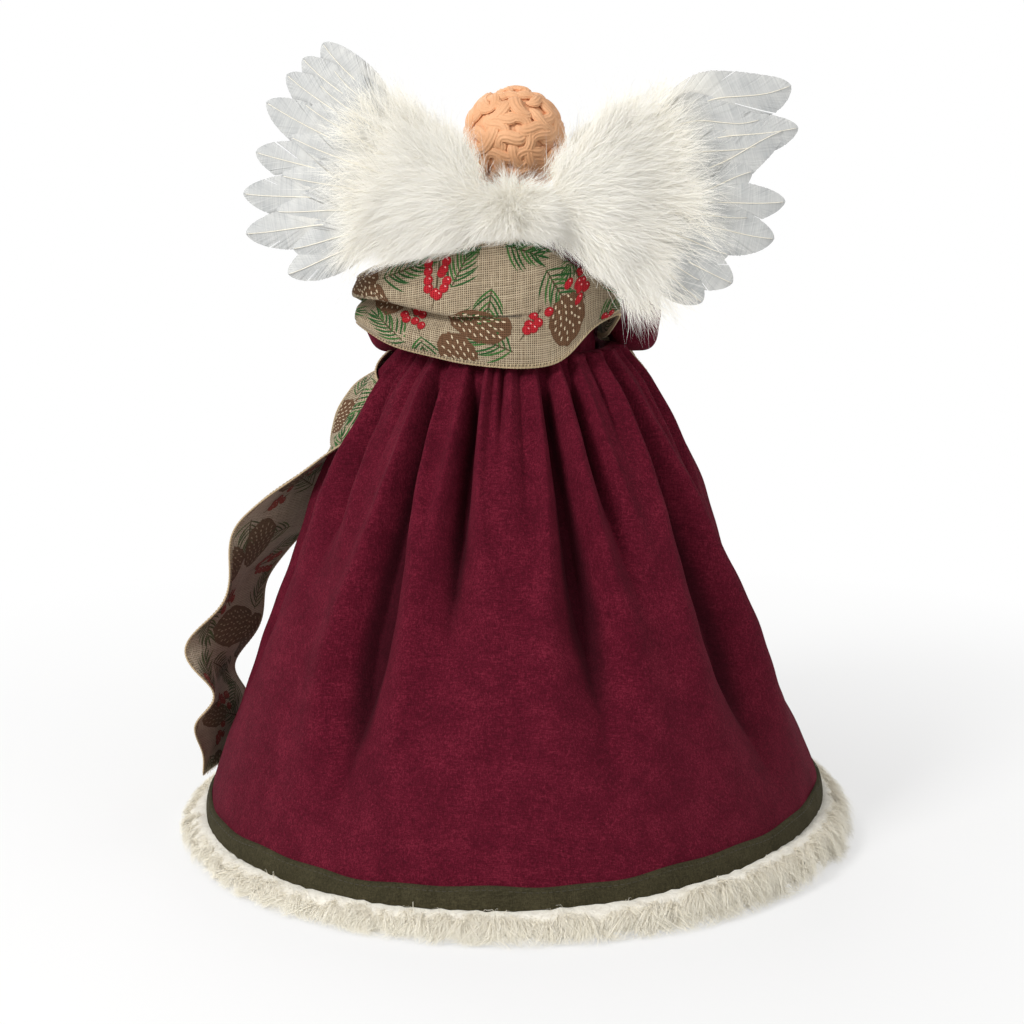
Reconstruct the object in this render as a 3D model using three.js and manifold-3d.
// Angel tree topper: a felt gown over a paperboard cone, with a cast head, feather wings,
// wire arms and a ribbon stole. Millimetres, +Z up, origin on the floor under the cone's axis.
// The angel faces -Y, so its wings are on the +Y side and its left hand is on the +X side.
import * as THREE from "three";
import { mergeVertices } from "three/addons/utils/BufferGeometryUtils.js";
import Module from "manifold-3d";

const wasm = await Module();
wasm.setup();

// Driving sizes of the gown
const WAIST_HEIGHT = 258;
const WAIST_RADIUS = 57;
const HEM_RADIUS = 161;
const HEM_LIFT = 8;
const FELT = 1.8;

// Driving sizes of the body, stacked up from the waist
const BODICE_HEIGHT = 68;
const BODICE_TOP = WAIST_HEIGHT + BODICE_HEIGHT;
const BODICE_HALF_WIDTH = 42;
const BODICE_HALF_DEPTH = 47;
const CONE_DROP = 21;
const CONE_HEIGHT = BODICE_TOP - CONE_DROP;
const CONE_BASE_RADIUS = 92;
const CONE_TOP_RADIUS = 13;
const CONE_WALL = 2.2;

// Gap between pieces that touch
const FIT = 0.3;

// Skirt: height share above the hem, and flare share between the waist and the hem radius
const FLARE_SHARES = [
  [0, 1.02],
  [0.048, 1],
  [0.228, 0.827],
  [0.452, 0.635],
  [0.668, 0.413],
  [0.88, 0.154],
  [0.964, 0.045],
  [1, 0],
];
const FOLD_DEPTH = 8.5;
// Folds: azimuth at the waist and at the hem, depth share, width in degrees, lowest height share
const FOLD_SHARES = [
  [42, 28, 1, 8, 0.05],
  [13.5, 14, 0.5, 5, 0.55],
  [-16, -18, 0.85, 7, 0.12],
  [-47, -54, 1, 9, 0.05],
  [80, 84, 0.8, 9, 0.1],
  [112, 118, 0.9, 9, 0.08],
  [146, 148, 1, 9, 0.05],
  [176, 180, 0.8, 8, 0.1],
  [208, 210, 1, 9, 0.05],
  [240, 236, 0.9, 9, 0.08],
  [276, 272, 0.8, 9, 0.1],
];
const SKIRT_SIDES = 72;
const SKIRT_ROWS = 7;

// Hem trim
const BAND_TOP = 22.5;
const BAND_THICKNESS = 1.6;
const FUR_RADIUS = 172;
const FUR_TOP = 12;
const FUR_INNER_RADIUS = 147;
const RING_SIDES = 48;

// Petticoat and waist band
const NET = 1;
const PETTICOAT_LIFT = 12;
const PETTICOAT_SIDES = 36;
// How far inside the folds the net stays: at most, at its top, and the height share where that changes
const PETTICOAT_INSET_SHARES = [1.15, 0.5, 0.85];
const WAIST_BAND_HEIGHT = 8;

// Dowel and plug
const DOWEL_RADIUS = 6;
const DOWEL_LENGTH = 78;
const PLUG_HEIGHT = 18;

// Head casting
const HEAD_RISE = 35;
const HEAD_CENTRE = BODICE_TOP + HEAD_RISE;
const HEAD_HALF_WIDTH = 27;
const HEAD_HALF_DEPTH = 28.5;
const HEAD_HALF_HEIGHT = 28;
const NECK_RADIUS = 13;
const CURL_DEPTH = 1.3;
const CURL_COUNT = 9;
// Where the hair ends, as a height and depth on a unit head, and how far the face lies inside it
const HAIR_LINE_SHARES = [-0.45, -0.15];
const FACE_INSET_SHARE = 0.09;
// Half sizes and place of the chin and the nose, as shares of the head's half sizes
const CHIN_SHARES = { width: 0.5, depth: 0.45, height: 0.4, forward: 0.42, drop: 0.58 };
const NOSE_SHARES = { width: 0.12, depth: 0.16, height: 0.17, forward: 0.88, drop: 0.14 };

// Bodice profile: height share above the waist, radius share
const BODICE_SHARES = [
  [-0.17, 1],
  [0.3, 1],
  [0.62, 0.97],
  [0.78, 0.9],
  [0.9, 0.74],
  [0.97, 0.55],
  [1, 0.36],
];
const BODICE_SIDES = 28;

// Arms
const SHOULDER_DROP = 20;
const ELBOW_RISE = 8;
const HAND_RISE = 10;
const SHOULDER = [36, 2, BODICE_TOP - SHOULDER_DROP];
const ELBOW = [66, -8, WAIST_HEIGHT + ELBOW_RISE];
const HAND = [29, -82, WAIST_HEIGHT + HAND_RISE];
const ARM_BACK = 10;
const UPPER_SLEEVE_RADIUS = 14;
const ELBOW_RADIUS = 16;
const FOREARM_RADIUS = 12;
const WRIST_RADIUS = 9;
const ELBOW_GAP = 0.8;
const ELBOW_BEND_DEGREES = 15;
const SLEEVE_SLANT_SHARE = 1;
// Upper sleeve: share of its length and of its radius, and how far round its elbow end goes
const SLEEVE_SHARES = [
  [0, 0.8],
  [0.2, 1],
  [0.6, 1],
];
const ELBOW_ROUND_SHARE = 0.96;
const ELBOW_STEPS = 4;
// Forearm: where it starts, as a share of the elbow radius, and where it begins to narrow
const FOREARM_START_SHARE = 0.9;
const FOREARM_NARROW_SHARE = 0.55;
const FOREARM_RELIEF = 6;
const WIRE_RADIUS = 1.2;
const HAND_LENGTH = 24;
const HAND_WIDTH = 11;
const HAND_THICKNESS = 6;
// Hand: share of its length and of its width
const PALM_SHARES = [
  [0, 0.62],
  [0.2, 0.66],
  [0.45, 1],
  [0.75, 0.86],
  [1, 0.4],
];
const ARM_SIDES = 12;

// Wings
const WING_CARD_WIDTH = 32;
const WING_CARD_HEIGHT = 42;
const WING_CARD_LIFT = 30;
const WING_CARD = 1.5;
const WING_ROOT_DROP = 4;
const WING_ROOT_HEIGHT = BODICE_TOP - WING_ROOT_DROP;
const WING_AXIS_OFFSET = 13.5;
const WING_WIRE_RADIUS = 0.9;
const WING_LEG = 20;
const WING_SPAN = 134;
const WING_HEIGHT = 121;
const WING_FELT = 1;
const FEATHER_THICKNESS = 0.8;
const FEATHER_WIDTH = 19;
const BACK_FLUFF = 17;
const FRONT_FLUFF = 11;
const FRONT_FLUFF_RISE_SHARE = 0.06;
const FRONT_FLUFF_HEIGHT_SHARE = 0.72;
// Feathers: tip across, tip up, root across, root up (shares of span and height), width share, bend share
const LEFT_FEATHER_SHARES = [
  [0.702, 0.674, 0.36, 0.3, 0.9, 0.1],
  [0.768, 0.612, 0.36, 0.26, 0.95, 0.1],
  [0.821, 0.547, 0.35, 0.22, 0.95, 0.05],
  [0.888, 0.438, 0.35, 0.18, 1, 0],
  [0.918, 0.255, 0.35, 0.13, 1, 0],
  [0.959, 0.095, 0.35, 0.08, 1, 0.05],
  [0.948, -0.06, 0.37, 0.04, 0.95, 0.05],
  [0.795, -0.215, 0.4, 0, 0.85, 0.05],
];
const RIGHT_FEATHER_SHARES = [
  [0.97, 0.556, 0.36, 0.25, 1.25, 0.35],
  [1, 0.397, 0.36, 0.22, 1.05, 0.15],
  [0.963, 0.33, 0.35, 0.14, 1.2, -0.2],
  [0.963, 0.062, 0.36, 0.06, 0.95, 0.1],
  [0.922, -0.08, 0.37, 0.03, 1.1, 0.1],
  [0.769, -0.25, 0.38, 0, 1, 0],
  [0.657, -0.32, 0.4, -0.03, 0.9, 0],
];
// Vane outline: share of the length, half width above and below the shaft
const VANE_SHARES = [
  [0, 0.07, 0.07],
  [0.14, 0.08, 0.08],
  [0.24, 0.7, 0.6],
  [0.5, 1, 0.85],
  [0.78, 1, 0.9],
  [0.9, 0.8, 0.7],
  [0.97, 0.45, 0.35],
  [1, 0.06, 0.06],
];
// Fluff: across, up, half height (shares of span, height and height)
const LEFT_FLUFF_SHARES = [
  [0.122, 0.087, 0.12],
  [0.187, 0.128, 0.178],
  [0.256, 0.134, 0.2],
  [0.32, 0.165, 0.248],
  [0.454, 0.2, 0.314],
  [0.551, 0.21, 0.36],
  [0.62, 0.21, 0.28],
  [0.66, 0.2, 0.12],
];
const RIGHT_FLUFF_SHARES = [
  [0.13, 0.1, 0.12],
  [0.2, 0.11, 0.14],
  [0.26, 0.1, 0.26],
  [0.328, 0.09, 0.33],
  [0.43, 0.103, 0.41],
  [0.55, 0.124, 0.45],
  [0.64, 0.136, 0.42],
  [0.7, 0.15, 0.22],
];
const FLUFF_SIDES = 12;

// Ribbon stole
const RIBBON_WIDTH = 63.5;
const RIBBON = 1;
const RIBBON_RADIUS = 64;
const RIBBON_RISE = 27;
const RIBBON_HEIGHT = WAIST_HEIGHT + RIBBON_RISE;
const LEFT_END_DEGREES = 70;
const RIGHT_END_DEGREES = 58;
// Ribbon on the back: share of the way round, then stand-off, rise and half height as shares of its width
const RIBBON_BACK_SHARES = [
  [-1, 0, 0, 0.12],
  [-0.64, 0, 0.01, 0.23],
  [-0.38, 0, -0.03, 0.42],
  [-0.1, 0, 0, 0.5],
  [0.32, 0.01, -0.01, 0.48],
  [0.57, 0.08, -0.02, 0.41],
  [0.77, 0.2, -0.02, 0.33],
  [0.93, 0.3, -0.02, 0.22],
  [1, 0.33, -0.02, 0.17],
];
const RIBBON_STEPS = 18;
const ARMPIT_DEPTH = 3.4;
const ARMPIT_LIFT = 3;
const ARMPIT_STEPS = 14;
// Ribbon where it passes the arm: its half width, and how far forward of the elbow three turns lie
const NARROW_SHARE = 1 / 3;
const FORWARD_SHARES = [0.8, 1.3, 1.8];
const TAIL_STEPS = 26;
// Tail: height share of the waist height, azimuth, stand-off share of the ribbon's width,
// turn from tangential in degrees, curl share
const LEFT_TAIL_SHARES = [
  [0.895, 113, 0.14, 4, 0.05],
  [0.82, 116, 0.17, -8, 0.1],
  [0.72, 113, 0.22, 12, -0.1],
  [0.6, 107, 0.34, 28, 0.1],
  [0.47, 105, 0.4, -6, -0.15],
  [0.36, 101, 0.36, 24, 0.12],
  [0.27, 101, 0.27, -16, -0.12],
  [0.19, 104, 0.2, 8, 0.1],
  [0.12, 106, 0.14, 0, 0.05],
  [0.064, 107, 0.115, 0, 0],
];
const RIGHT_TAIL_SHARES = [
  [0.895, 134, 0.19, 0, 0.05],
  [0.82, 137, 0.17, 4, 0.1],
  [0.7, 141, 0.18, -6, -0.08],
  [0.56, 144, 0.2, 8, 0.1],
  [0.42, 147, 0.2, -8, -0.1],
  [0.3, 148, 0.17, 6, 0.08],
  [0.2, 149, 0.15, 0, 0],
];

const topper = new THREE.Group();

function paint(color, roughness, metalness = 0) {
  return new THREE.MeshStandardMaterial({ color, roughness, metalness });
}

function place(name, geometry, material, parent = topper) {
  const mesh = new THREE.Mesh(geometry, material);
  mesh.name = name;
  parent.add(mesh);
  return mesh;
}

function vec(point) {
  return new THREE.Vector3(...point);
}

// Value of a table of rows [t, a, b, ...] at t, along a smooth curve through its rows
function tableAt(rows, t) {
  const last = rows.length - 1;
  const forward = rows[last][0] > rows[0][0];
  let k = 0;
  while (k < last - 1 && (forward ? t > rows[k + 1][0] : t < rows[k + 1][0])) k += 1;
  const before = rows[Math.max(k - 1, 0)];
  const from = rows[k];
  const to = rows[k + 1];
  const after = rows[Math.min(k + 2, last)];
  const step = to[0] - from[0];
  const s = Math.min(Math.max((t - from[0]) / step, 0), 1);
  return from.slice(1).map((value, j) => {
    const i = j + 1;
    const slopeIn = ((to[i] - before[i]) / (to[0] - before[0])) * step;
    const slopeOut = ((after[i] - from[i]) / (after[0] - from[0])) * step;
    const h = s * s * (3 - 2 * s);
    return value * (1 - h) + to[i] * h + slopeIn * s * (1 - s) ** 2 - slopeOut * s ** 2 * (1 - s);
  });
}

// Closed geometry from points and triangles, turned to face outwards
function closed(points, triangles) {
  let volume = 0;
  for (const [a, b, c] of triangles) {
    volume += points[a].dot(new THREE.Vector3().crossVectors(points[b], points[c]));
  }
  const faces = volume < 0 ? triangles.map(([a, b, c]) => [a, c, b]) : triangles;
  const geometry = new THREE.BufferGeometry();
  geometry.setAttribute("position", new THREE.Float32BufferAttribute(points.flatMap((p) => p.toArray()), 3));
  geometry.setIndex(faces.flat());
  geometry.computeVertexNormals();
  return geometry;
}

// Ring round the Z axis: section(azimuth) gives a closed outline of [radius, height] pairs
function ring(sides, section, widthShare = 1, depthShare = 1) {
  const points = [];
  const triangles = [];
  let count = 0;
  for (let i = 0; i < sides; i += 1) {
    const azimuth = (i / sides) * 2 * Math.PI;
    const outline = section(azimuth);
    count = outline.length;
    for (const [radius, height] of outline) {
      const x = radius * widthShare * Math.sin(azimuth);
      const y = radius * depthShare * Math.cos(azimuth);
      points.push(new THREE.Vector3(x, y, height));
    }
  }
  for (let i = 0; i < sides; i += 1) {
    for (let j = 0; j < count; j += 1) {
      const a = i * count + j;
      const b = i * count + ((j + 1) % count);
      const c = ((i + 1) % sides) * count + ((j + 1) % count);
      const d = ((i + 1) % sides) * count + j;
      triangles.push([a, b, c], [a, c, d]);
    }
  }
  return closed(points, triangles);
}

// Skin over sections of the same number of points, capped at both ends. From the point underside on,
// the quads take their other diagonal, so that a thin twisted strip's two faces stay parallel
function loft(sections, underside = sections[0].length) {
  const count = sections[0].length;
  const points = sections.flat();
  const triangles = [];
  for (let i = 0; i < sections.length - 1; i += 1) {
    for (let j = 0; j < count; j += 1) {
      const a = i * count + j;
      const b = i * count + ((j + 1) % count);
      if (j < underside) triangles.push([a, b, b + count], [a, b + count, a + count]);
      else triangles.push([a, b, a + count], [b, b + count, a + count]);
    }
  }
  for (const [section, turn] of [[0, true], [sections.length - 1, false]]) {
    const centre = new THREE.Vector3();
    sections[section].forEach((p) => centre.add(p));
    points.push(centre.divideScalar(count));
    for (let j = 0; j < count; j += 1) {
      const a = section * count + j;
      const b = section * count + ((j + 1) % count);
      triangles.push(turn ? [points.length - 1, b, a] : [points.length - 1, a, b]);
    }
  }
  return closed(points, triangles);
}

// Ellipse of points round a centre, along two half axes
function ellipse(centre, u, v, sides) {
  return Array.from({ length: sides }, (_, i) => {
    const angle = (i / sides) * 2 * Math.PI;
    return centre.clone().addScaledVector(u, Math.cos(angle)).addScaledVector(v, Math.sin(angle));
  });
}

// Round body along a straight line: rows of [share of the line, radius]
function limb(start, end, rows, sides) {
  const axis = end.clone().sub(start);
  const u = new THREE.Vector3(0, 0, 1).cross(axis).normalize();
  const v = axis.clone().cross(u).normalize();
  return loft(
    rows.map(([share, radius]) => {
      const centre = start.clone().addScaledVector(axis, share);
      return ellipse(centre, u.clone().multiplyScalar(radius), v.clone().multiplyScalar(radius), sides);
    }),
  );
}

// Flat strip: stations of { centre, across, half, curl }, with its thickness on both sides
function strip(stations, thickness, spare = 0) {
  const lanes = 4;
  const half = thickness / 2 + spare;
  return loft(
    stations.map((station, i) => {
      const before = stations[Math.max(i - 1, 0)].centre;
      const after = stations[Math.min(i + 1, stations.length - 1)].centre;
      const normal = after.clone().sub(before).cross(station.across).normalize();
      const lane = (side) => (_, j) => {
        const s = (2 * j) / lanes - 1;
        const lift = station.curl * (s * s - 1 / 2) + side * half;
        return station.centre
          .clone()
          .addScaledVector(station.across, s * (station.half + spare))
          .addScaledVector(normal, lift);
      };
      const top = Array.from({ length: lanes + 1 }, lane(1));
      const bottom = Array.from({ length: lanes + 1 }, lane(-1)).reverse();
      return [...top, ...bottom];
    }),
    lanes + 1,
  );
}

function toSolid(geometry) {
  const bare = new THREE.BufferGeometry();
  bare.setAttribute("position", geometry.getAttribute("position"));
  bare.setIndex(geometry.index);
  const merged = mergeVertices(bare);
  return new wasm.Manifold(
    new wasm.Mesh({
      numProp: 3,
      vertProperties: new Float32Array(merged.attributes.position.array),
      triVerts: new Uint32Array(merged.index.array),
    }),
  );
}

function fromSolid(solid) {
  const mesh = solid.getMesh();
  const geometry = new THREE.BufferGeometry();
  geometry.setAttribute("position", new THREE.BufferAttribute(mesh.vertProperties, 3));
  geometry.setIndex(new THREE.BufferAttribute(mesh.triVerts, 1));
  geometry.computeVertexNormals();
  return geometry;
}

function cut(geometry, tools) {
  return fromSolid(tools.reduce((solid, tool) => solid.subtract(toSolid(tool)), toSolid(geometry)));
}

function joined(geometries) {
  const [first, ...rest] = geometries.map(toSolid);
  return fromSolid(rest.reduce((solid, other) => solid.add(other), first));
}

function tube(curve, radius, steps, sides) {
  const outline = new THREE.Shape(
    Array.from({ length: sides }, (_, i) => {
      const angle = (i / sides) * 2 * Math.PI;
      return new THREE.Vector2(radius * Math.cos(angle), radius * Math.sin(angle));
    }),
  );
  return new THREE.ExtrudeGeometry(outline, { steps, extrudePath: curve, curveSegments: 1 });
}

// Skirt radius without folds, at a height
function flareRadius(height) {
  const share = (height - HEM_LIFT) / (WAIST_HEIGHT - HEM_LIFT);
  const [flare] = tableAt(FLARE_SHARES, share);
  return WAIST_RADIUS + (HEM_RADIUS - WAIST_RADIUS) * flare;
}

// How far the folds draw the skirt in, at an azimuth in radians and a height
function foldDepth(azimuth, height) {
  const share = (height - HEM_LIFT) / (WAIST_HEIGHT - HEM_LIFT);
  let depth = 0;
  for (const [waist, hem, deep, width, lowest] of FOLD_SHARES) {
    const away = azimuth - THREE.MathUtils.degToRad(hem + (waist - hem) * share);
    const off = THREE.MathUtils.radToDeg(Math.atan2(Math.sin(away), Math.cos(away)));
    const rise = THREE.MathUtils.smoothstep(share, lowest, lowest + 1 / 2);
    const fall = 1 - THREE.MathUtils.smoothstep(share, 3 / 4, 1);
    depth += deep * rise * fall * Math.exp(-((off / width) ** 2));
  }
  return FOLD_DEPTH * Math.min(depth, 1);
}

function skirtRadius(azimuth, height) {
  return flareRadius(height) - foldDepth(azimuth, height);
}

function makeSkirt(felt) {
  const heights = Array.from(
    { length: SKIRT_ROWS + 1 },
    (_, i) => HEM_LIFT + (WAIST_HEIGHT - HEM_LIFT) * (i / SKIRT_ROWS),
  );
  const section = (azimuth) => [
    ...heights.map((height) => [skirtRadius(azimuth, height), height]),
    ...heights.map((height) => [skirtRadius(azimuth, height) - FELT, height]).reverse(),
  ];
  place("skirt", ring(SKIRT_SIDES, section), felt);
}

function makeHemBand(felt) {
  const outline = [HEM_LIFT + FIT, BAND_TOP];
  const section = (azimuth) => [
    ...outline.map((height) => [skirtRadius(azimuth, height) + FIT, height]),
    ...outline.map((height) => [flareRadius(height) + FIT + BAND_THICKNESS, height]).reverse(),
  ];
  place("hem_band", ring(SKIRT_SIDES, section), felt);
}

function makeFurTrim(fur) {
  const shelf = HEM_LIFT - FIT;
  const inside = flareRadius(HEM_LIFT) + BAND_THICKNESS + 2 * FIT;
  const edge = FUR_RADIUS - inside;
  const section = () => [
    [FUR_INNER_RADIUS, 0],
    [FUR_RADIUS - edge / 2, 0],
    [FUR_RADIUS, shelf / 2],
    [FUR_RADIUS, (shelf + FUR_TOP) / 2],
    [FUR_RADIUS - edge / 2, FUR_TOP],
    [inside, FUR_TOP],
    [inside, shelf],
    [FUR_INNER_RADIUS, shelf],
  ];
  place("fur_trim", ring(RING_SIDES, section), fur);
}

const WAIST_BAND_BOTTOM = WAIST_HEIGHT - WAIST_BAND_HEIGHT;

function makePetticoat(net) {
  const top = WAIST_BAND_BOTTOM - FIT;
  const rows = 5;
  const heights = Array.from({ length: rows + 1 }, (_, i) => PETTICOAT_LIFT + (top - PETTICOAT_LIFT) * (i / rows));
  const [deep, shallow, change] = PETTICOAT_INSET_SHARES;
  const inset = (height) => {
    const share = (height - PETTICOAT_LIFT) / (top - PETTICOAT_LIFT);
    const clear = THREE.MathUtils.lerp(deep, shallow, THREE.MathUtils.smoothstep(share, change, 1));
    return FELT + 2 * FIT + FOLD_DEPTH * clear;
  };
  const section = () => [
    ...heights.map((height) => [flareRadius(height) - inset(height), height]),
    ...heights.map((height) => [flareRadius(height) - inset(height) - NET, height]).reverse(),
  ];
  place("petticoat", ring(PETTICOAT_SIDES, section), net);
}

function makeWaistBand(felt) {
  const section = (azimuth) => {
    const spoke = Math.hypot(
      (BODICE_HALF_WIDTH + FIT) * Math.sin(azimuth),
      (BODICE_HALF_DEPTH + FIT) * Math.cos(azimuth),
    );
    const inner = spoke + FIT;
    const outer = (height) => flareRadius(height) - FELT - 2 * FIT;
    return [
      [inner, WAIST_BAND_BOTTOM],
      [outer(WAIST_HEIGHT), WAIST_BAND_BOTTOM],
      [outer(WAIST_HEIGHT), WAIST_HEIGHT],
      [inner, WAIST_HEIGHT],
    ];
  };
  place("waist_band", ring(RING_SIDES, section), felt);
}

function coneRadius(height) {
  return THREE.MathUtils.lerp(CONE_BASE_RADIUS, CONE_TOP_RADIUS, height / CONE_HEIGHT);
}

function makeCone(board) {
  const profile = [
    [CONE_BASE_RADIUS, 0],
    [CONE_TOP_RADIUS, CONE_HEIGHT],
    [CONE_TOP_RADIUS - CONE_WALL, CONE_HEIGHT],
    [CONE_BASE_RADIUS - CONE_WALL, 0],
    [CONE_BASE_RADIUS, 0],
  ];
  const points = profile.map(([radius, height]) => new THREE.Vector2(radius, height));
  const geometry = new THREE.LatheGeometry(points, RING_SIDES);
  geometry.rotateX(Math.PI / 2);
  place("cone_former", geometry, board);
}

// Offsets an open [radius, height] outline sideways, to its left going along it
function offset(outline, distance) {
  return outline.map(([radius, height], i) => {
    const [r0, h0] = outline[Math.max(i - 1, 0)];
    const [r1, h1] = outline[Math.min(i + 1, outline.length - 1)];
    const length = Math.hypot(r1 - r0, h1 - h0);
    return [radius - ((h1 - h0) / length) * distance, height + ((r1 - r0) / length) * distance];
  });
}

// Bodice outline as [radius, height] for a unit half width: the ring function stretches it
const BODICE_MEAN = (BODICE_HALF_WIDTH + BODICE_HALF_DEPTH) / 2;
const BODICE_OUTLINE = BODICE_SHARES.map(([share, radius]) => [
  BODICE_MEAN * radius,
  WAIST_HEIGHT + (BODICE_TOP - WAIST_HEIGHT) * share,
]);

// The same outline drawn in by a distance, which the ring widens to the bodice's two half axes
function bodiceRing(sides, outer, inner) {
  const section = () => [...outer, ...inner];
  return ring(sides, section, BODICE_HALF_WIDTH / BODICE_MEAN, BODICE_HALF_DEPTH / BODICE_MEAN);
}

const ARM_WIRE_HEIGHT = (CONE_HEIGHT + BODICE_TOP) / 2 - WIRE_RADIUS;

// Wire from one elbow, through the shoulders behind the dowel, to the other elbow
function armWirePath() {
  const [sx, sy, sz] = SHOULDER;
  const [ex, ey, ez] = ELBOW;
  const half = [
    [sx / 2, ARM_BACK, ARM_WIRE_HEIGHT],
    [sx, (sy + ARM_BACK) / 2, (sz + ARM_WIRE_HEIGHT) / 2],
    [(sx + ex) / 2, (sy + ey) / 2, (sz + ez) / 2],
    [ex, ey, ez],
  ];
  const right = half.map(([x, y, z]) => new THREE.Vector3(-x, y, z)).reverse();
  return new THREE.CatmullRomCurve3([...right, ...half.map(vec)], false, "centripetal");
}

const ARM_WIRE = armWirePath();
const ARM_WIRE_STEPS = 36;
const WIRE_SIDES = 6;

function wireBore(curve, radius, steps) {
  return tube(curve, radius + 2 * FIT, steps, WIRE_SIDES);
}

function makeBodice(felt) {
  const inner = offset(BODICE_OUTLINE, FELT).reverse();
  const shell = bodiceRing(BODICE_SIDES, BODICE_OUTLINE, inner);
  place("bodice", cut(shell, [wireBore(ARM_WIRE, WIRE_RADIUS, ARM_WIRE_STEPS)]), felt);
}

function makeTorso(padding) {
  const outer = offset(BODICE_OUTLINE, FELT + 2 * FIT).slice(0, -1);
  const top = outer[outer.length - 1][1];
  const bottom = outer[0][1];
  const section = (azimuth) => {
    const spoke = Math.hypot(
      (BODICE_HALF_WIDTH / BODICE_MEAN) * Math.sin(azimuth),
      (BODICE_HALF_DEPTH / BODICE_MEAN) * Math.cos(azimuth),
    );
    const around = (height) => Math.max(coneRadius(height), DOWEL_RADIUS) + 2 * FIT;
    const widened = outer.map(([radius, height]) => [radius * spoke, height]);
    return [...widened, [around(CONE_HEIGHT), top], [around(CONE_HEIGHT), CONE_HEIGHT], [around(bottom), bottom]];
  };
  const body = ring(BODICE_SIDES, section);
  place("torso_padding", cut(body, [wireBore(ARM_WIRE, WIRE_RADIUS, ARM_WIRE_STEPS)]), padding);
  return top;
}

function makeDowelAndPlug(wood, cork) {
  const dowel = new THREE.CylinderGeometry(DOWEL_RADIUS, DOWEL_RADIUS, DOWEL_LENGTH, ARM_SIDES * 2);
  dowel.rotateX(Math.PI / 2);
  const dowelBottom = CONE_HEIGHT - PLUG_HEIGHT;
  dowel.translate(0, 0, dowelBottom + DOWEL_LENGTH / 2);
  place("neck_dowel", dowel, wood);
  const inside = (height) => coneRadius(height) - CONE_WALL - 2 * FIT;
  const profile = [
    [DOWEL_RADIUS + FIT, dowelBottom],
    [inside(dowelBottom), dowelBottom],
    [inside(CONE_HEIGHT), CONE_HEIGHT],
    [DOWEL_RADIUS + FIT, CONE_HEIGHT],
  ];
  place("cone_plug", ring(ARM_SIDES * 2, () => profile), cork);
  return dowelBottom + DOWEL_LENGTH;
}

// Head, hair and neck in one casting, bored for the dowel
function makeHead(resin, neckBottom, dowelTop) {
  const skull = new THREE.SphereGeometry(1, 30, 18);
  skull.rotateX(Math.PI / 2);
  const position = skull.getAttribute("position");
  for (let i = 0; i < position.count; i += 1) {
    const way = new THREE.Vector3().fromBufferAttribute(position, i);
    const hair = THREE.MathUtils.smoothstep(way.y + way.z / 2, ...HAIR_LINE_SHARES);
    const azimuth = Math.atan2(way.x, way.y);
    const rise = Math.asin(THREE.MathUtils.clamp(way.z, -1, 1));
    const wave = Math.sin(CURL_COUNT * azimuth * Math.cos(rise) + 2 * Math.sin(CURL_COUNT * rise));
    const lift = hair * CURL_DEPTH * wave * Math.cos(CURL_COUNT * rise - azimuth);
    const size = new THREE.Vector3(HEAD_HALF_WIDTH, HEAD_HALF_DEPTH, HEAD_HALF_HEIGHT);
    const face = 1 - (1 - hair) * FACE_INSET_SHARE;
    const point = way.clone().multiply(size).multiplyScalar(face).addScaledVector(way, lift);
    position.setXYZ(i, point.x, point.y, point.z + HEAD_CENTRE);
  }
  const neck = new THREE.CylinderGeometry(NECK_RADIUS, NECK_RADIUS, HEAD_CENTRE - neckBottom, ARM_SIDES * 2);
  neck.rotateX(Math.PI / 2);
  neck.translate(0, 0, (HEAD_CENTRE + neckBottom) / 2);
  const feature = ({ width, depth, height, forward, drop }) => {
    const lump = new THREE.SphereGeometry(1, 12, 8);
    lump.scale(HEAD_HALF_WIDTH * width, HEAD_HALF_DEPTH * depth, HEAD_HALF_HEIGHT * height);
    lump.translate(0, -HEAD_HALF_DEPTH * forward, HEAD_CENTRE - HEAD_HALF_HEIGHT * drop);
    return lump;
  };
  const bore = new THREE.CylinderGeometry(DOWEL_RADIUS + FIT, DOWEL_RADIUS + FIT, 1, ARM_SIDES * 2);
  bore.rotateX(Math.PI / 2);
  bore.scale(1, 1, dowelTop + FIT - neckBottom + NECK_RADIUS);
  bore.translate(0, 0, (dowelTop + FIT + neckBottom - NECK_RADIUS) / 2);
  const casting = joined([skull, neck, feature(CHIN_SHARES), feature(NOSE_SHARES)]);
  place("head_casting", cut(casting, [bore]), resin);
}

function mirrored(point, side) {
  return new THREE.Vector3(point[0] * side, point[1], point[2]);
}

const LEFT = 1;
const RIGHT = -1;

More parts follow.
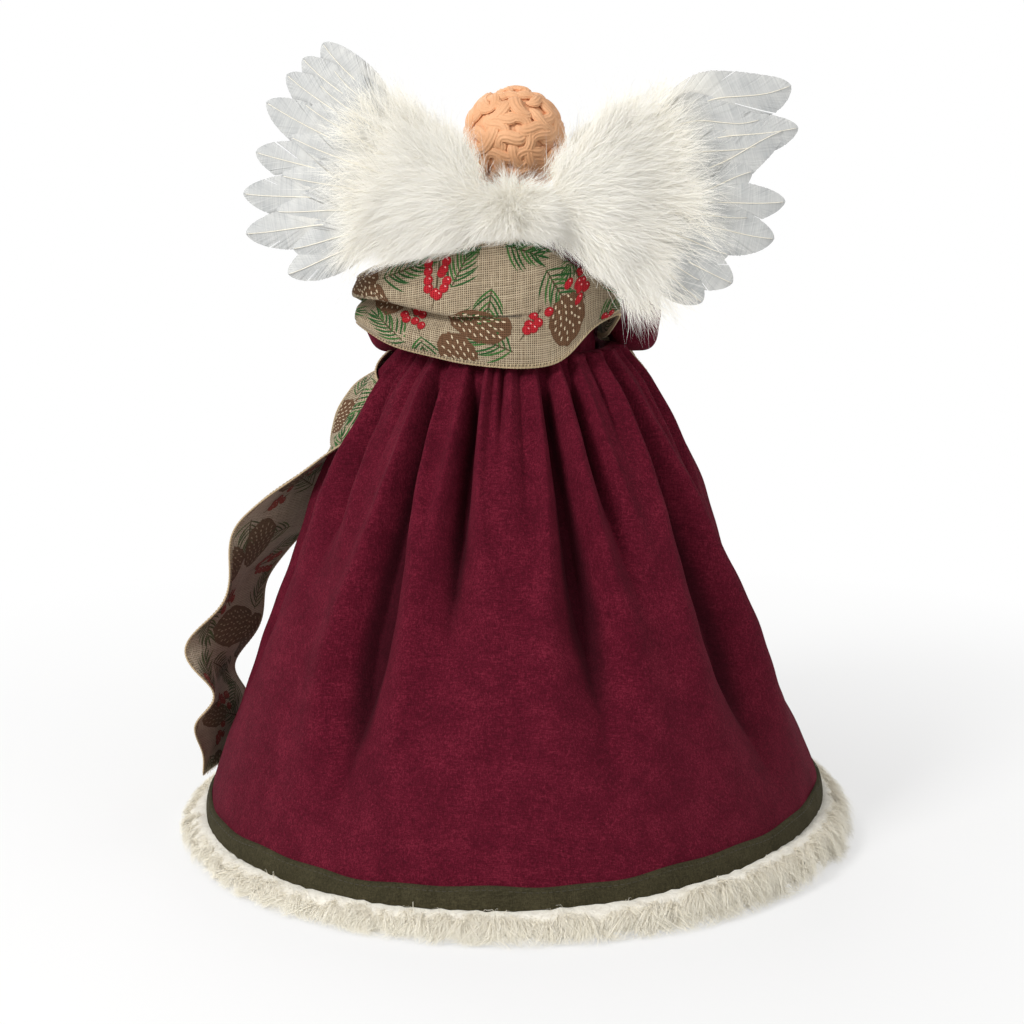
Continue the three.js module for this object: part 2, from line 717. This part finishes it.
function tailStations(side, rows) {
  const half = RIBBON_WIDTH / 2;
  const narrow = half * NARROW_SHARE;
  const [under, over, out] = FORWARD_SHARES.map((share) => share * narrow);
  const middle = (half + narrow) / 2;
  const end = backStation(side);
  const entry = (end.half + narrow) / 2;
  const pass = BODICE_HALF_WIDTH + ARMPIT_DEPTH;
  const ledge = WAIST_HEIGHT + ARMPIT_LIFT;
  const back = [end.centre.x * side, end.centre.y, end.centre.z];
  const [lowShare, azimuth, stand] = rows[0];
  const lead = THREE.MathUtils.degToRad(azimuth);
  const lowHeight = lowShare * WAIST_HEIGHT;
  const lowRadius = flareRadius(lowHeight) + stand * RIBBON_WIDTH;
  const low = [lowRadius * Math.sin(lead), lowRadius * Math.cos(lead), lowHeight];
  const up = [0, 0, 1];
  const tangent = [Math.cos(lead), -Math.sin(lead), 0];
  const [, elbowY] = ELBOW;
  // Behind the arm, narrowed past the armpit, over the skirt's top edge and out under the forearm
  return [
    [back, up, end.half],
    [[(back[0] + pass * 2) / 3, back[1] / 2, ledge + ARMPIT_LIFT + entry], up, entry],
    [[pass, back[1] / 8, ledge + narrow], up, narrow],
    [[pass, elbowY, ledge + narrow], up, narrow],
    [[pass + narrow / 8, elbowY - under, ledge + narrow / 2], [0, -1, 1], narrow],
    [[WAIST_RADIUS - narrow / 8, elbowY - over, ledge - ARMPIT_LIFT / 2], [-0.3, -1, 0.1], narrow],
    [[(WAIST_RADIUS + low[0]) / 2, elbowY - out, (ledge + low[2]) / 2], [-0.35, -1, 0], middle],
    [low, tangent, half],
  ].map(([centre, across, width]) => ({
    centre: mirrored(centre, side),
    across: mirrored(across, side).normalize(),
    half: width,
    curl: 0,
  }));
}

function tailRun(side, rows) {
  const half = RIBBON_WIDTH / 2;
  return Array.from({ length: TAIL_STEPS }, (_, i) => {
    const t = THREE.MathUtils.lerp(rows[0][0], rows[rows.length - 1][0], (i + 1) / TAIL_STEPS);
    const [degrees, stand, turn, curl] = tableAt(rows, t);
    const azimuth = THREE.MathUtils.degToRad(degrees);
    const height = t * WAIST_HEIGHT;
    const radius = flareRadius(height) + stand * RIBBON_WIDTH;
    const facing = azimuth + THREE.MathUtils.degToRad(turn);
    return {
      centre: mirrored([radius * Math.sin(azimuth), radius * Math.cos(azimuth), height], side),
      across: mirrored([Math.cos(facing), -Math.sin(facing), 0], side),
      half,
      curl: curl * half,
    };
  });
}

// Smooths a list of stations into steps between them
function eased(stations, steps) {
  const centre = new THREE.CatmullRomCurve3(stations.map((s) => s.centre), false, "centripetal");
  const across = new THREE.CatmullRomCurve3(stations.map((s) => s.across), false, "catmullrom");
  const count = stations.length - 1;
  return Array.from({ length: steps + 1 }, (_, i) => {
    const t = i / steps;
    const k = Math.min(Math.floor(t * count), count - 1);
    return {
      centre: centre.getPoint(t),
      across: across.getPoint(t).normalize(),
      half: THREE.MathUtils.lerp(stations[k].half, stations[k + 1].half, t * count - k),
      curl: 0,
    };
  });
}

function ribbonTail(side, rows) {
  return [...eased(tailStations(side, rows), ARMPIT_STEPS), ...tailRun(side, rows)];
}

function backStation(share) {
  const degrees = share * (share < 0 ? RIGHT_END_DEGREES : LEFT_END_DEGREES);
  const azimuth = THREE.MathUtils.degToRad(degrees);
  const [stand, rise, half] = tableAt(RIBBON_BACK_SHARES, share);
  const radius = RIBBON_RADIUS + stand * RIBBON_WIDTH;
  const height = RIBBON_HEIGHT + rise * RIBBON_WIDTH;
  return {
    centre: new THREE.Vector3(radius * Math.sin(azimuth), radius * Math.cos(azimuth), height),
    across: new THREE.Vector3(0, 0, 1),
    half: half * RIBBON_WIDTH,
    curl: 0,
  };
}

function makeRibbon(weave) {
  const end = 1 - THREE.MathUtils.radToDeg((2 * FIT) / RIBBON_RADIUS) / LEFT_END_DEGREES;
  const back = Array.from({ length: RIBBON_STEPS + 1 }, (_, i) =>
    backStation(THREE.MathUtils.lerp(-end, end, i / RIBBON_STEPS)),
  );
  place("ribbon_back", strip(back, RIBBON), weave);
  const left = ribbonTail(LEFT, LEFT_TAIL_SHARES);
  const right = ribbonTail(RIGHT, RIGHT_TAIL_SHARES);
  place("ribbon_left_tail", strip(left, RIBBON), weave);
  place("ribbon_right_tail", strip(right, RIBBON), weave);
  return { left, right };
}

function makeArm(label, side, felt, resin, steel, ribbon) {
  const shoulder = mirrored(SHOULDER, side);
  const elbow = mirrored(ELBOW, side);
  const hand = mirrored(HAND, side);
  const upper = shoulder.distanceTo(elbow);
  const puff = Array.from({ length: ELBOW_STEPS + 1 }, (_, i) => {
    const angle = (i / ELBOW_STEPS) * (Math.PI / 2) * ELBOW_ROUND_SHARE;
    return [1 + (ELBOW_RADIUS * Math.sin(angle)) / upper, ELBOW_RADIUS * Math.cos(angle)];
  });
  const rows = [...SLEEVE_SHARES.map(([share, radius]) => [share, UPPER_SLEEVE_RADIUS * radius]), ...puff];
  const envelope = bodiceEnvelope(offset(BODICE_OUTLINE, -2 * FIT));
  const bore = wireBore(ARM_WIRE, WIRE_RADIUS, ARM_WIRE_STEPS);
  const sleeve = limb(shoulder, elbow, rows, ARM_SIDES);
  const passing = strip(ribbon.slice(0, ARMPIT_STEPS + 3), RIBBON, 2 * FIT);
  const skirtTop = skirtEnvelope();
  place(`${label}_upper_sleeve`, cut(sleeve, [envelope, bore, passing, skirtTop]), felt);

  const forearm = new THREE.Group();
  topper.add(forearm);
  const reach = elbow.distanceTo(hand);
  const forearmRows = [
    [ELBOW_RADIUS * FOREARM_START_SHARE, FOREARM_RADIUS],
    [reach * FOREARM_NARROW_SHARE, FOREARM_RADIUS],
    [reach, WRIST_RADIUS],
  ];
  const ball = new THREE.SphereGeometry(ELBOW_RADIUS + ELBOW_GAP, 24, 16);
  ball.translate(elbow.x, elbow.y, elbow.z);
  const way = hand.clone().sub(elbow).normalize();
  const level = new THREE.Vector3(0, 0, 1).cross(way).normalize();
  const rise = way.clone().cross(level);
  // The first section leans forward at the top, which leaves the elbow room to bend
  const forearmSections = forearmRows.map(([along, radius], i) => {
    const lean = rise.clone().addScaledVector(way, i === 0 ? SLEEVE_SLANT_SHARE : 0);
    const centre = elbow.clone().addScaledVector(way, along);
    return ellipse(centre, level.clone().multiplyScalar(radius), lean.multiplyScalar(radius), ARM_SIDES);
  });
  const wireStart = elbow.clone().addScaledVector(way, ELBOW_RADIUS + 2 * ELBOW_GAP);
  const wireEnd = hand.clone().addScaledVector(way, HAND_LENGTH / 3);
  const wire = new THREE.LineCurve3(wireStart, wireEnd);
  const straight = new THREE.LineCurve3(elbow, wireEnd.clone().addScaledVector(way, FIT));
  const boring = wireBore(straight, WIRE_RADIUS, 1);
  // The upper sleeve as the raised forearm meets it, half way up and at its limit
  const bent = [1 / 2, 1].map((share) => {
    const met = limb(shoulder, elbow, rows.map(([along, radius]) => [along, radius + 2 * FIT]), ARM_SIDES);
    met.translate(-elbow.x, -elbow.y, -elbow.z);
    const bend = share * THREE.MathUtils.degToRad(ELBOW_BEND_DEGREES);
    met.applyMatrix4(new THREE.Matrix4().makeRotationAxis(level, bend));
    return met.translate(elbow.x, elbow.y, elbow.z);
  });
  const relief = strip(ribbon.slice(0, ARMPIT_STEPS + 3), RIBBON, FOREARM_RELIEF);
  const forearmCuts = [ball, boring, relief, skirtTop, ...bent];
  place(`${label}_forearm_sleeve`, cut(loft(forearmSections), forearmCuts), felt, forearm);
  place(`${label}_forearm_wire`, tube(wire, WIRE_RADIUS, 1, WIRE_SIDES), steel, forearm);

  const wrist = hand.clone().addScaledVector(way, FIT);
  const across = new THREE.Vector3(0, 0, 1);
  const flat = across.clone().cross(way).normalize();
  const palm = loft(
    PALM_SHARES.map(([share, wide]) =>
      ellipse(
        wrist.clone().addScaledVector(way, share * HAND_LENGTH),
        across.clone().multiplyScalar((wide * HAND_WIDTH) / 2),
        flat.clone().multiplyScalar(HAND_THICKNESS / 2),
        ARM_SIDES,
      ),
    ),
  );
  place(`${label}_hand`, cut(palm, [boring]), resin, forearm);
}

// Solid of revolution that fills the bodice, for cutting what lies against it
function bodiceEnvelope(outline) {
  const onAxis = ([, height]) => [0, height];
  const profile = [onAxis(outline[0]), ...outline, onAxis(outline[outline.length - 1])];
  const points = profile.map(([radius, height]) => new THREE.Vector2(radius, height));
  const geometry = new THREE.LatheGeometry(points, BODICE_SIDES);
  geometry.rotateX(Math.PI / 2);
  geometry.scale(BODICE_HALF_WIDTH / BODICE_MEAN, BODICE_HALF_DEPTH / BODICE_MEAN, 1);
  return geometry;
}

// Solid of revolution just over the skirt's top, for cutting what lies on it
function skirtEnvelope() {
  const rows = 4;
  const bottom = WAIST_HEIGHT - RIBBON_WIDTH / 2;
  const heights = Array.from({ length: rows + 1 }, (_, i) => bottom + (WAIST_HEIGHT - bottom) * (i / rows));
  const outline = heights.map((height) => [flareRadius(height) + 2 * FIT, height + FIT]);
  const profile = [[0, bottom], ...outline, [0, WAIST_HEIGHT + FIT]];
  const points = profile.map(([radius, height]) => new THREE.Vector2(radius, height));
  const geometry = new THREE.LatheGeometry(points, SKIRT_SIDES);
  geometry.rotateX(Math.PI / 2);
  return geometry;
}

const CARD_FACE = BODICE_HALF_DEPTH + FIT;
const WING_AXIS_Y = CARD_FACE + WING_CARD + FIT + WING_WIRE_RADIUS;
const FEATHER_FACE = WING_AXIS_Y + WING_WIRE_RADIUS + FIT + WING_FELT + FIT;

function makeWingCard(board) {
  const card = new THREE.BoxGeometry(WING_CARD_WIDTH, WING_CARD, WING_CARD_HEIGHT);
  card.translate(0, CARD_FACE + WING_CARD / 2, WAIST_HEIGHT + WING_CARD_LIFT + WING_CARD_HEIGHT / 2);
  place("wing_card", card, board);
}

// Vane and shaft in one flat outline, from its root to its tip
function featherGeometry(root, tip, width, bend, upward) {
  const length = root.distanceTo(tip);
  const edge = (sign, column) =>
    VANE_SHARES.map((row) => {
      const along = row[0] * length;
      const arch = bend * width * Math.sin(row[0] * Math.PI);
      return new THREE.Vector2(along, upward * (sign * row[column] * (width / 2) + arch));
    });
  const outline = new THREE.Shape([...edge(-1, 2), ...edge(1, 1).reverse()]);
  const geometry = new THREE.ExtrudeGeometry(outline, { depth: FEATHER_THICKNESS, bevelEnabled: false });
  const along = tip.clone().sub(root).normalize();
  const normal = new THREE.Vector3(0, 1, 0);
  const across = normal.clone().cross(along);
  geometry.applyMatrix4(new THREE.Matrix4().makeBasis(along, across, normal).setPosition(root));
  return geometry;
}

function makeWing(label, side, featherShares, fluffShares, white, down, felt, steel) {
  const wing = new THREE.Group();
  topper.add(wing);
  const at = (across, up, y) => new THREE.Vector3(across * WING_SPAN * side, y, WING_ROOT_HEIGHT + up * WING_HEIGHT);
  const axisX = WING_AXIS_OFFSET * side;
  const middle = fluffShares[3];
  const wire = new THREE.CatmullRomCurve3(
    [
      new THREE.Vector3(axisX, WING_AXIS_Y, WING_ROOT_HEIGHT - WING_LEG),
      new THREE.Vector3(axisX, WING_AXIS_Y, WING_ROOT_HEIGHT - WING_LEG / 3),
      at((WING_AXIS_OFFSET / WING_SPAN + middle[0]) / 2, middle[1] / 2, WING_AXIS_Y),
      at(middle[0], middle[1], WING_AXIS_Y),
    ],
    false,
    "centripetal",
  );
  place(`${label}_wing_wire`, tube(wire, WING_WIRE_RADIUS, 16, WIRE_SIDES), steel, wing);

  const reach = featherShares[0][2] * WING_SPAN;
  const base = new THREE.Shape();
  base.absellipse(0, 0, reach / 2, reach / 2, 0, 2 * Math.PI);
  const baseGeometry = new THREE.ExtrudeGeometry(base, { depth: WING_FELT, bevelEnabled: false, curveSegments: 8 });
  baseGeometry.rotateX(Math.PI / 2);
  const centre = at(middle[0], middle[1], FEATHER_FACE - FIT);
  baseGeometry.translate(centre.x, centre.y, centre.z);
  place(`${label}_wing_base`, baseGeometry, felt, wing);

  featherShares.forEach(([tipAcross, tipUp, rootAcross, rootUp, wide, bend], i) => {
    const y = FEATHER_FACE + i * (FEATHER_THICKNESS + FIT);
    const root = at(rootAcross, rootUp, y);
    const tip = at(tipAcross, tipUp, y);
    const geometry = featherGeometry(root, tip, wide * FEATHER_WIDTH, bend, -side);
    place(`${label}_feather_${i + 1}`, geometry, white, wing);
  });

  const backFace = FEATHER_FACE + featherShares.length * (FEATHER_THICKNESS + FIT);
  // Flat against the feathers, swelling away from them
  const fluff = (rows, thickness, face, direction) =>
    loft(
      rows.map(([across, up, half]) => {
        const depth = direction * thickness * Math.min(half / rows[4][2], 1) ** 0.5;
        const centre = at(across, up, face);
        return Array.from({ length: FLUFF_SIDES }, (_, i) => {
          const angle = (i / FLUFF_SIDES) * 2 * Math.PI;
          const swell = new THREE.Vector3(0, depth * Math.max(Math.sin(angle), 0), 0);
          return centre.clone().add(swell).add(new THREE.Vector3(0, 0, half * WING_HEIGHT * Math.cos(angle)));
        });
      }),
    );
  place(`${label}_back_fluff`, fluff(fluffShares, BACK_FLUFF, backFace, 1), down, wing);
  const frontFace = WING_AXIS_Y - WING_WIRE_RADIUS - FIT;
  const frontShares = LEFT_FLUFF_SHARES
    .slice(1)
    .map(([across, up, half]) => [across, up + FRONT_FLUFF_RISE_SHARE, half * FRONT_FLUFF_HEIGHT_SHARE]);
  place(`${label}_front_fluff`, fluff(frontShares, FRONT_FLUFF, frontFace, -1), down, wing);
}

const TUFT_HALF_WIDTH = 11.5;
const TUFT_HALF_DEPTH = 13;
const TUFT_HALF_HEIGHT = 15;
const TUFT_LIFT = 1.5;

function makeTuft(down) {
  const tuft = new THREE.SphereGeometry(1, 12, 8);
  tuft.scale(TUFT_HALF_WIDTH, TUFT_HALF_DEPTH, TUFT_HALF_HEIGHT);
  const face = CARD_FACE + WING_CARD + FIT;
  tuft.translate(0, face + TUFT_HALF_DEPTH, RIBBON_HEIGHT + RIBBON_WIDTH / 2 + TUFT_HALF_HEIGHT + TUFT_LIFT);
  place("middle_tuft", tuft, down);
}

const burgundy = paint("#67203a", 0.95);
const olive = paint("#46422c", 0.95);
const fur = paint("#e2dac8", 1);
const net = paint("#d9d2c6", 0.9);
const board = paint("#b59a75", 0.9);
const padding = paint("#ece8df", 1);
const wood = paint("#c9a272", 0.7);
const resin = paint("#e6ab82", 0.6);
const steel = paint("#9a9a96", 0.4, 1);
const white = paint("#e9e8e2", 0.8);
const down = paint("#f6f2e6", 1);
const burlap = paint("#a9946f", 0.95);
const cork = paint("#c29a6c", 0.95);
const feltBase = paint("#f0ece2", 0.95);

makeSkirt(burgundy);
makeHemBand(olive);
makeFurTrim(fur);
makePetticoat(net);
makeWaistBand(burgundy);
makeCone(board);
makeBodice(burgundy);
const neckSeat = makeTorso(padding);
const dowelTop = makeDowelAndPlug(wood, cork);
makeHead(resin, neckSeat + FIT, dowelTop);
place("arm_wire", tube(ARM_WIRE, WIRE_RADIUS, ARM_WIRE_STEPS, WIRE_SIDES), steel);
const ribbon = makeRibbon(burlap);
makeArm("left", LEFT, burgundy, resin, steel, ribbon.left);
makeArm("right", RIGHT, burgundy, resin, steel, ribbon.right);
makeWingCard(board);
makeWing("left", LEFT, LEFT_FEATHER_SHARES, LEFT_FLUFF_SHARES, white, down, feltBase, steel);
makeWing("right", RIGHT, RIGHT_FEATHER_SHARES, RIGHT_FLUFF_SHARES, white, down, feltBase, steel);
makeTuft(down);

export default topper;
